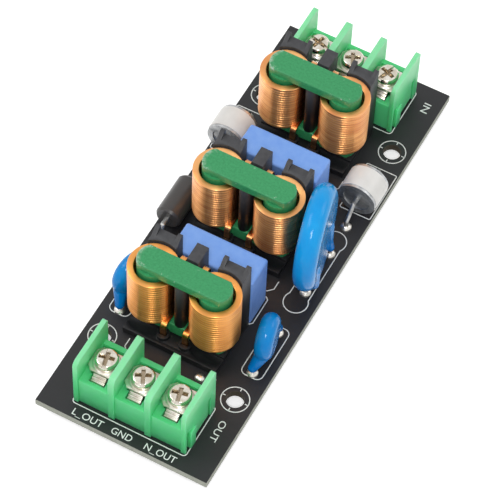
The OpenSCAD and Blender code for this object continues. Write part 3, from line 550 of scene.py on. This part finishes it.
def trench(half_x, half_y, top_z, floor_z, draft):
    """A closed tool for a recess: its walls lean in by draft towards the floor."""
    corners = ((-1, -1), (1, -1), (1, 1), (-1, 1))
    low = [(sx * (half_x - draft), sy * (half_y - draft), floor_z) for sx, sy in corners]
    high = [(sx * half_x, sy * half_y, top_z) for sx, sy in corners]
    return loft([low, high])


def screw_crown(t):
    """Height of the head above its seat, at a share of the radius."""
    if t < RIM:
        return SCREW_HEIGHT * (1 - CROWN_FALL * t ** 2)
    return SCREW_HEIGHT * (RIM_HEIGHT - RIM_FALL * (t - RIM) ** RIM_CURVE)


def screw_blank():
    """A pan-head combination screw, its seat at z = 0, with a slot across the head and a cross."""
    shank = [(SCREW_SHANK - SCREW_TIP, -SCREW_LENGTH), (SCREW_SHANK, SCREW_TIP - SCREW_LENGTH),
             (SCREW_SHANK, 0.0), (SCREW_RADIUS - HEAD_LIP_IN, 0.0), (SCREW_RADIUS, HEAD_LIP_UP)]
    shares = (1.0, 0.985, 0.96, 0.93, 0.9, RIM, 0.75, 0.55, 0.3, 0.12)
    crown = [(SCREW_RADIUS * t, screw_crown(t)) for t in shares]
    turned = build("screw_blank", [loft([circle(r, 72, z) for r, z in shank + crown])], NICKEL)
    carrier = stand("screw_carrier", turned)
    # The tools start above the head, and the slot's tool runs out past its sides
    above = SCREW_HEIGHT + 0.25
    cutters = cut_away(carrier, [
        trench(SCREW_RADIUS + 1, SLOT_HALF, SCREW_HEIGHT + 1, SCREW_HEIGHT - SLOT_DEPTH, SLOT_DRAFT),
        trench(CROSS_REACH, CROSS_HALF, above, SCREW_HEIGHT - CROSS_DEPTH, CROSS_DRAFT),
        trench(CROSS_HALF, CROSS_REACH, above, SCREW_HEIGHT - CROSS_DEPTH, CROSS_DRAFT)])
    round_edges(carrier, 0.05, 42)
    mesh = settled(carrier, cutters)
    # How deep each point lies below the crown, in millimetres, for the painted shade in the recess. The rim,
    # the underside and the shank have none.
    sunk = mesh.attributes.new("recess", "FLOAT", "POINT")
    values = []
    for v in mesh.vertices:
        t = math.hypot(v.co.x, v.co.y) / (SCREW_RADIUS * MM)
        inside = t < 0.97 and v.co.z > 0.2 * MM
        values.append(max(0.0, screw_crown(t) - v.co.z / MM) if inside else 0.0)
    sunk.data.foreach_set("value", values)
    return smoothed(mesh, 38)


def screw_places(tree, sockets):
    """Stands a screw on each point of a row, turned by the row's own angles."""
    row = add(tree, "GeometryNodeMeshLine", {"Count": sockets["Count"], "Start Location": sockets["First"],
                                             "Offset": sockets["Step"]}, mode="OFFSET")
    index = add(tree, "GeometryNodeInputIndex")
    angle = sockets["Turn 1"]
    for past, label in ((0.5, "Turn 2"), (1.5, "Turn 3")):
        later = add(tree, "FunctionNodeCompare", {0: index.outputs[0], 1: past}, data_type="FLOAT",
                    operation="GREATER_THAN")
        angle = add(tree, "GeometryNodeSwitch", {"Switch": later.outputs[0], "False": angle,
                                                 "True": sockets[label]}, input_type="FLOAT").outputs[0]
    turned = add(tree, "ShaderNodeCombineXYZ", {2: angle})
    stood = add(tree, "GeometryNodeInstanceOnPoints", {"Points": row.outputs[0],
                                                       "Instance": sockets["Geometry"],
                                                       "Rotation": turned.outputs[0]})
    return stood.outputs[0]


blank = screw_blank()
for strip, front in STRIP_FRONT.items():
    sizes = {"Count": 3, "First": (-TERMINAL_PITCH * MM, (front + SCREW_SET_BACK) * MM, SCREW_SEAT * MM),
             "Step": (TERMINAL_PITCH * MM, 0.0, 0.0)}
    for i, angle in enumerate(SCREW_TURNS[strip]):
        sizes["Turn " + str(i + 1)] = math.radians(angle)
    mesh = grow(strip + "_screw_row", screw_places, NICKEL, sizes, blank)
    piece(strip + "_screws", mesh, [strip + "_terminal_screws"])


# ---------------------------------------------------------------- choke cores and bases
# Points along each round end of a bar, the rounding of each bar's edges, and how far the legs run into both
END_POINTS, BAR_EDGE, YOKE_EDGE, LEG_SINK = 18, 0.25, 0.3, 0.4
# The edge distance that keeps wear off the legs
FAR = 9.0


def core_ring(half_width, inset, z):
    """Plan of a core bar at a height: two round ends trimmed to the bar width, drawn in by inset."""
    radius, half = CORE_LEG - inset, half_width - inset
    swing = math.asin(half / radius)
    ring = []
    for sign, base in ((1, 0.0), (-1, math.pi)):
        for k in range(END_POINTS):
            a = base - swing + 2 * swing * k / (END_POINTS - 1)
            ring.append((sign * WINDING_OFFSET + radius * math.cos(a), radius * math.sin(a), z))
    return ring


def core_bar(half_width, low, high, edge):
    """A bar with rounded edges, and for each point its distance from the top edge in millimetres."""
    steps = [math.radians(a) for a in (0, 22.5, 45, 67.5, 90)]
    under = [(edge * (1 - math.cos(a)), low + edge * (1 - math.sin(a))) for a in steps[::-1]]
    over = [(edge * (1 - math.cos(a)), high - edge * (1 - math.sin(a))) for a in steps]
    # Rings on the walls and on the flat top, for the worn band along the edge to fade over
    walls = [(0.0, low + (high - low) * t) for t in (0.35, 0.7)]
    plate = [(inset, high) for inset in (0.7, 1.0, 1.5, 2.0)]
    profile = under + walls + over + plate
    rings = [core_ring(half_width, inset, z) for inset, z in profile]
    # Nought on the rounding itself, and growing down the wall and in over the flat top
    away = []
    for ring, (inset, z) in zip(rings, profile):
        distance = inset - edge * 0.3 if z > high - 0.01 else max(0.0, high - z - edge * 0.5)
        away += [abs(distance)] * len(ring)
    return loft(rings), away


top_bar, top_away = core_bar(BAR_HALF, CORE_UNDER, CORE_TOP, BAR_EDGE)
yoke, yoke_away = core_bar(YOKE_HALF, CORE_FLOOR, CORE_YOKE, YOKE_EDGE)
leg_ends = (CORE_YOKE - LEG_SINK, CORE_UNDER + LEG_SINK)
legs = [loft([circle(CORE_LEG, 64, z, (side * WINDING_OFFSET, 0)) for z in leg_ends]) for side in (-1, 1)]
for choke, y in CHOKE_Y.items():
    parts = [moved(part, (CHOKE_X, y, 0)) for part in [top_bar, yoke] + legs]
    mesh = build(choke + "_core", parts, FERRITE, 50)
    away = top_away + yoke_away
    away += [FAR] * (len(mesh.vertices) - len(away))
    mesh.attributes.new("edge_distance", "FLOAT", "POINT").data.foreach_set("value", away)
    piece(choke + "_painted_core", mesh, [choke + "_choke_core"])
    softened(choke + "_choke_base", 0.14, BLACK_PLASTIC)


# ---------------------------------------------------------------- windings
WIRE_THICKNESS, WIRE_ROUNDING, END_THICKNESS = 0.71, 0.13, 0.6
REAR_BEND, FRONT_BEND, BEND_STEPS = 1.0, 0.9, 6
RISE = WINDING_TOP - WINDING_BOTTOM - WIRE_THICKNESS


def coil(tree, sockets):
    """Flat wire wound on edge: a helix swept with a wire section that stands edge-on to the axis."""
    helix = add(tree, "GeometryNodeCurveSpiral", {"Resolution": 64, "Rotations": sockets["Turns"],
                                                  "Start Radius": sockets["Coil Radius"],
                                                  "End Radius": sockets["Coil Radius"],
                                                  "Height": sockets["Rise"]})
    placed = add(tree, "GeometryNodeTransform", {"Geometry": helix.outputs[0],
                                                 "Translation": sockets["Start"], "Scale": sockets["Hand"]})
    # The way the wire runs, for the drawing marks in its finish
    along = add(tree, "GeometryNodeInputTangent")
    marked = add(tree, "GeometryNodeStoreNamedAttribute",
                 {"Geometry": placed.outputs[0], "Name": "wire_run", "Value": along.outputs[0]},
                 data_type="FLOAT_VECTOR")
    upright = add(tree, "GeometryNodeSetCurveNormal", {"Curve": marked.outputs[0]}, mode="Z_UP")
    section = add(tree, "GeometryNodeCurvePrimitiveQuadrilateral",
                  {"Width": sockets["Wire Width"], "Height": sockets["Wire Thickness"]})
    rounded = add(tree, "GeometryNodeFilletCurve",
                  {"Curve": section.outputs[0], "Radius": sockets["Rounding"], "Count": 3}, mode="POLY")
    swept = add(tree, "GeometryNodeCurveToMesh", {"Curve": upright.outputs[0],
                                                  "Profile Curve": rounded.outputs[0], "Fill Caps": True})
    return swept.outputs[0]


def strap(path, x):
    """A flat wire end that follows a path of (y, z) points, its width along X, with its corners eased."""
    half, edge = END_THICKNESS / 2, WIRE_WIDTH / 2
    rings = []
    for i, (y, z) in enumerate(path):
        a = path[max(i - 1, 0)]
        b = path[min(i + 1, len(path) - 1)]
        length = math.hypot(b[0] - a[0], b[1] - a[1])
        ny, nz = -(b[1] - a[1]) / length, (b[0] - a[0]) / length
        rings.append([(x + u * edge, y + ny * v * half, z + nz * v * half)
                      for u, v in ((-1, -0.55), (-0.9, -1), (0.9, -1), (1, -0.55),
                                   (1, 0.55), (0.9, 1), (-0.9, 1), (-1, 0.55))])
    return loft(rings)


def bend(start, corner, end, radius):
    """Points of a path with one rounded corner."""
    def toward(a, b):
        d = math.hypot(b[0] - a[0], b[1] - a[1])
        return (a[0] + (b[0] - a[0]) * radius / d, a[1] + (b[1] - a[1]) * radius / d)
    p, q = toward(corner, start), toward(corner, end)
    curve = []
    for k in range(BEND_STEPS + 1):
        t = k / BEND_STEPS
        curve.append(tuple((1 - t) ** 2 * p[i] + 2 * t * (1 - t) * corner[i] + t ** 2 * q[i]
                           for i in (0, 1)))
    return [start] + curve + [end]


def winding(choke, y, side, sign, material):
    """One winding: its turns, and its flat ends from the top and the bottom turn down through the board."""
    name = choke + "_" + side
    radius = WINDING_RADIUS - WIRE_WIDTH / 2
    low = WINDING_BOTTOM + WIRE_THICKNESS / 2
    high, foot = low + RISE, LEAD_TIP + 0.01
    turns = grow(name + "_coil", coil, material, {
        "Turns": float(TURNS), "Coil Radius": radius * MM, "Rise": RISE * MM,
        "Start": ((CHOKE_X + sign * WINDING_OFFSET) * MM, y * MM, low * MM),
        "Hand": (-float(sign), 1.0, 1.0), "Wire Width": WIRE_WIDTH * MM,
        "Wire Thickness": WIRE_THICKNESS * MM, "Rounding": WIRE_ROUNDING * MM})
    wire_x = CHOKE_X + sign * (WINDING_OFFSET - radius)
    rear = bend((y, high), (y + WIRE_END_REAR, high), (y + WIRE_END_REAR, foot), REAR_BEND)
    front = bend((y, low), (y - WIRE_END_FRONT, low), (y - WIRE_END_FRONT, foot), FRONT_BEND)
    ends = build("ends", [strap(rear, wire_x), strap(front, wire_x)], material)
    # The wire's run is read before the two are joined, because the join drops it
    runs = [tuple(mark.vector) for mark in turns.attributes["wire_run"].data]
    runs += [(0.0, 0.0, 1.0)] * len(ends.vertices)
    turns.attributes.remove(turns.attributes["wire_run"])
    whole = bmesh.new()
    whole.from_mesh(turns)
    whole.from_mesh(ends)
    bmesh.ops.recalc_face_normals(whole, faces=whole.faces)
    joined = bpy.data.meshes.new(name + "_wire")
    whole.to_mesh(joined)
    whole.free()
    carried = joined.attributes.new("wire_run", "FLOAT_VECTOR", "POINT")
    carried.data.foreach_set("vector", [value for run in runs for value in run])
    piece(name + "_edge_wound_coil", smoothed(coated(joined, material), 50),
          [choke + "_choke_" + side + "_winding"])


for choke, y in CHOKE_Y.items():
    material = AMBER_WIRE if choke == "out" else RED_WIRE
    winding(choke, y, "left", -1, material)
    winding(choke, y, "right", 1, material)


# ---------------------------------------------------------------- dipped parts
def dipped(node, voxel, rounds):
    """A dip-coated piece: the CAD solid flowed together as a coat of epoxy does."""
    carrier = stand(node + "_carrier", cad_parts[node].data.copy())
    remesh = carrier.modifiers.new("flow", "REMESH")
    remesh.mode, remesh.voxel_size = "VOXEL", voxel * MM
    smooth = carrier.modifiers.new("ease", "SMOOTH")
    smooth.factor, smooth.iterations = 0.5, rounds
    piece(node + "_coat", smoothed(coated(settled(carrier), DIPPED)), [node])


dipped("varistor", 0.2, 8)
dipped("left_disc_capacitor", 0.15, 6)
dipped("right_disc_capacitor", 0.15, 6)


# ---------------------------------------------------------------- printed legend
INK_WIDTH, INK_HEIGHT = 0.2, 0.03
# Front and rear are from the strip's front edge
STRIP_MARK_HALF, STRIP_MARK_FRONT, STRIP_MARK_REAR, STRIP_MARK_CORNER = 11.95, -0.4, 11.45, 0.7
# A ring round each mounting hole, with four ticks that point inwards
HOLE_RING, HOLE_TICK = 2.7, 2.05
VARISTOR_MARK_X, VARISTOR_MARK_Y, VARISTOR_MARK_RADIUS = 13.95, 7.9, 2.4
# Boxes on both sides of the board: near and far edge from its middle, front, rear and corner radius
TUBE_MARK = (11.1, 17.6, 15.75, 27.5, 0.3)
DISC_MARK = (12.0, 16.3, -26.6, -14.2, 1.2)
# Front and rear are how far the mark lies in front of the choke's middle
CHOKE_MARK_LEFT, CHOKE_MARK_RIGHT, CHOKE_MARK_FRONT, CHOKE_MARK_REAR = -9.35, 9.0, 9.25, 6.3
CHOKE_MARK_CHAMFER, BOX_MARK_CHAMFER = 1.0, 0.5
BOX_MARK_GAP_X, BOX_MARK_GAP_Y = 0.45, 0.2


def ink_line(tree, sockets):
    """A printed line: the path swept with a flat section."""
    path = add(tree, "GeometryNodeMeshToCurve", {"Mesh": sockets["Geometry"]})
    upright = add(tree, "GeometryNodeSetCurveNormal", {"Curve": path.outputs[0]}, mode="Z_UP")
    section = add(tree, "GeometryNodeCurvePrimitiveQuadrilateral",
                  {"Width": sockets["Line Width"], "Height": sockets["Ink Height"]})
    swept = add(tree, "GeometryNodeCurveToMesh", {"Curve": upright.outputs[0],
                                                  "Profile Curve": section.outputs[0], "Fill Caps": True})
    return swept.outputs[0]


def arc(centre, radius, start, end, count=10):
    """Points of an arc between two angles in degrees."""
    angles = [math.radians(start + (end - start) * k / count) for k in range(count + 1)]
    return [(centre[0] + radius * math.cos(a), centre[1] + radius * math.sin(a)) for a in angles]


def rounded_box(x0, y0, x1, y1, radius):
    """A closed outline with rounded corners."""
    return (arc((x1 - radius, y1 - radius), radius, 0, 90)
            + arc((x0 + radius, y1 - radius), radius, 90, 180)
            + arc((x0 + radius, y0 + radius), radius, 180, 270)
            + arc((x1 - radius, y0 + radius), radius, 270, 360))


def outline(name, paths):
    """Prints (points, closed) paths on the component side of the board."""
    points, edges = [], []
    for path, closed in paths:
        first = len(points)
        points += [(x * MM, y * MM, (BOARD_TOP + INK_HEIGHT / 2) * MM) for x, y in path]
        edges += [(first + k, first + k + 1) for k in range(len(path) - 1)]
        if closed:
            edges.append((first + len(path) - 1, first))
    seed = bpy.data.meshes.new(name + "_path")
    seed.from_pydata(points, edges, [])
    sizes = {"Line Width": INK_WIDTH * MM, "Ink Height": INK_HEIGHT * MM}
    piece(name, grow(name, ink_line, INK, sizes, seed))


outline("legend_strips", [(rounded_box(-STRIP_MARK_HALF, front + STRIP_MARK_FRONT, STRIP_MARK_HALF,
                                       front + STRIP_MARK_REAR, STRIP_MARK_CORNER), True)
                          for front in STRIP_FRONT.values()])

hole_marks = []
for x in (-HOLE_X, HOLE_X):
    for y in (-HOLE_Y, HOLE_Y):
        hole_marks.append((arc((x, y), HOLE_RING, 0, 360, 48)[:-1], True))
        for a in (0, 90, 180, 270):
            c, s = math.cos(math.radians(a)), math.sin(math.radians(a))
            hole_marks.append(([(x + r * c, y + r * s) for r in (HOLE_RING, HOLE_TICK)], False))
outline("legend_hole_marks", hole_marks)


def varistor_mark():
    """The varistor's outline: two part circles, one towards each end of the board, and straight sides."""
    return (arc((VARISTOR_MARK_X, VARISTOR_MARK_Y), VARISTOR_MARK_RADIUS, -35, 215, 24)
            + arc((VARISTOR_MARK_X, -VARISTOR_MARK_Y), VARISTOR_MARK_RADIUS, 145, 395, 24))


def choke_mark(y):
    """Three sides of a box with two cut corners, in front of a choke."""
    left, right, chamfer = CHOKE_MARK_LEFT, CHOKE_MARK_RIGHT, CHOKE_MARK_CHAMFER
    front, back = y - CHOKE_MARK_FRONT, y - CHOKE_MARK_REAR
    return [(left, back), (left, front + chamfer), (left + chamfer, front), (right - chamfer, front),
            (right, front + chamfer), (right, back)]


def box_mark(node):
    """A box with cut corners, a little outside the case of a film capacitor."""
    low, high = (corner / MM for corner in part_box(node))
    x0, y0 = low.x - BOX_MARK_GAP_X, low.y - BOX_MARK_GAP_Y
    x1, y1 = high.x + BOX_MARK_GAP_X, high.y + BOX_MARK_GAP_Y
    cut = BOX_MARK_CHAMFER
    return [(x0 + cut, y0), (x1 - cut, y0), (x1, y0 + cut), (x1, y1 - cut), (x1 - cut, y1), (x0 + cut, y1),
            (x0, y1 - cut), (x0, y0 + cut)]


part_marks = [(varistor_mark(), True)]
for side in (-1, 1):
    for near, far, front, rear, corner in (TUBE_MARK, DISC_MARK):
        left, right = sorted((side * near, side * far))
        part_marks.append((rounded_box(left, front, right, rear, corner), True))
part_marks += [(choke_mark(y), False) for y in CHOKE_Y.values()]
part_marks += [(box_mark(node), True) for node in ("out_box_capacitor_case", "in_box_capacitor_case")]
outline("legend_parts", part_marks)


# ---------------------------------------------------------------- a solder dome beside the output choke
DOME_PLACE, DOME_RADIUS, DOME_HEIGHT = (6.2, -31.3), 1.0, 0.6
DOME_STEPS = [math.radians(a) for a in range(0, 90, 15)]
dome = loft([circle(DOME_RADIUS * math.cos(a), 32, BOARD_TOP + DOME_HEIGHT * math.sin(a), DOME_PLACE)
             for a in DOME_STEPS])
piece("choke_solder_dome", build("choke_solder_dome", [dome], SOLDER, 60))


# ---------------------------------------------------------------- printed lettering
def lettering(name, text, x, y, height, width, turn):
    """Printed capitals whose lower left corner is at x, y before the turn, fitted to a height and width."""
    letters = bpy.data.curves.new(name + "_letters", "FONT")
    letters.body = text
    mesh = settled(stand(name + "_carrier", letters))
    flat = bmesh.new()
    flat.from_mesh(mesh)
    bmesh.ops.remove_doubles(flat, verts=flat.verts, dist=1e-5)
    low = Vector(min(v.co[i] for v in flat.verts) for i in range(3))
    high = Vector(max(v.co[i] for v in flat.verts) for i in range(3))
    # An underscore hangs below the line that the capitals stand on
    base = min(v.co.y for v in flat.verts if "_" not in text or v.co.y > -0.05)
    fit = Matrix.Diagonal((width / (high.x - low.x), height / (high.y - base), 1)).to_4x4()
    flat.transform(Matrix.Translation((x * MM, y * MM, BOARD_TOP * MM))
                   @ Matrix.Rotation(math.radians(turn), 4, "Z") @ Matrix.Scale(MM, 4) @ fit
                   @ Matrix.Translation((-low.x, -base, 0)))
    raised = bmesh.ops.extrude_face_region(flat, geom=flat.faces[:])["geom"]
    bmesh.ops.translate(flat, vec=(0, 0, INK_HEIGHT * MM),
                        verts=[g for g in raised if isinstance(g, bmesh.types.BMVert)])
    bmesh.ops.recalc_face_normals(flat, faces=flat.faces)
    flat.to_mesh(mesh)
    flat.free()
    piece(name, coated(mesh, INK))


lettering("legend_l_out", "L_OUT", -10.7, -49.6, 1.4, 6.3, 0)
lettering("legend_gnd_out", "GND", -2.5, -49.6, 1.4, 4.2, 0)
lettering("legend_n_out", "N_OUT", 4.45, -49.6, 1.4, 6.45, 0)
lettering("legend_out", "OUT", 13.95, -37.35, 1.35, 4.75, -90)
lettering("legend_in", "IN", 14.45, 46.3, 1.45, 2.4, -90)


# ---------------------------------------------------------------- studio
# The room's light and the floor's own glow, half the floor's width in metres, and in millimetres how far
# the floor lies below the cut leads
ROOM_LIGHT, FLOOR_GLOW, FLOOR_HALF, FLOOR_GAP = 0.48, 0.45, 3.0, 0.02


def soft_light(name, place, size, power):
    """A soft white lamp that points at the middle of the board."""
    data = bpy.data.lights.new(name, "AREA")
    data.shape, data.size, data.energy = "SQUARE", size, power
    lamp = stand(name, data)
    lamp.location = place
    lamp.rotation_euler = (-Vector(place)).to_track_quat("-Z", "Y").to_euler()


def shown(tree):
    """1 for what is seen directly, in a reflection or through glass, and 0 for what only gives light."""
    rays = add(tree, "ShaderNodeLightPath").outputs
    seen = rays["Is Camera Ray"]
    for kind in ("Is Glossy Ray", "Is Transmission Ray"):
        seen = add(tree, "ShaderNodeMath", {0: seen, 1: rays[kind]}, operation="MAXIMUM").outputs[0]
    return seen


def white_room():
    """Plain light from all round, seen as pure white."""
    world = bpy.data.worlds.new("white_studio")
    world.use_nodes = True
    sky = world.node_tree
    sky.nodes.clear()
    strength = add(sky, "ShaderNodeMapRange", {"Value": shown(sky), "To Min": ROOM_LIGHT, "To Max": 1.0})
    shade = add(sky, "ShaderNodeBackground", {"Color": (1, 1, 1, 1), "Strength": strength.outputs[0]})
    add(sky, "ShaderNodeOutputWorld", {"Surface": shade.outputs[0]})
    return world


def white_card():
    # A sheet of white card: it keeps a soft shadow and is otherwise seen as white
    made, tree, shader = finish("white_card", "#f2f2f2", Roughness=0.9)[:3]
    lift = add(tree, "ShaderNodeMath", {0: shown(tree), 1: FLOOR_GLOW}, operation="MULTIPLY")
    glow = add(tree, "ShaderNodeEmission", {"Strength": lift.outputs[0]})
    both = add(tree, "ShaderNodeAddShader", {0: shader.outputs[0], 1: glow.outputs[0]})
    end = next(n for n in tree.nodes if n.type == "OUTPUT_MATERIAL")
    tree.links.new(both.outputs[0], end.inputs["Surface"])
    return made


soft_light("key", (0.2, -0.45, 0.76), 0.2, 3.2)
soft_light("fill", (-0.55, -0.1, 0.65), 0.4, 1.8)
soft_light("rear", (0.45, 0.55, 0.45), 0.4, 0.9)
scene.world = white_room()

level = (LEAD_TIP - FLOOR_GAP) * MM
sheet = bpy.data.meshes.new("floor")
sheet.from_pydata([(x * FLOOR_HALF, y * FLOOR_HALF, level) for x, y in ((-1, -1), (1, -1), (1, 1), (-1, 1))],
                  [], [(0, 1, 2, 3)])
floor = stand("floor", coated(sheet, white_card()))

# ---------------------------------------------------------------- camera
EYE_PLACE = Vector((128.8, -265.8, 443.8)) * MM
AZIMUTH, ELEVATION, ROLL = (math.radians(a) for a in (25.86, 56.43, 2.98))
camera = bpy.data.cameras.new("camera")
camera.sensor_width, camera.lens = 36.0, 199.74
camera.clip_start, camera.clip_end = 0.01, 20.0
back = Vector((math.sin(AZIMUTH) * math.cos(ELEVATION), -math.cos(AZIMUTH) * math.cos(ELEVATION),
               math.sin(ELEVATION)))
eye = stand("camera", camera)
eye.location = EYE_PLACE
eye.rotation_mode = "QUATERNION"
eye.rotation_quaternion = (-back).to_track_quat("-Z", "Y") @ Matrix.Rotation(ROLL, 3, "Z").to_quaternion()
scene.camera = eye
scene.view_settings.view_transform = "Standard"
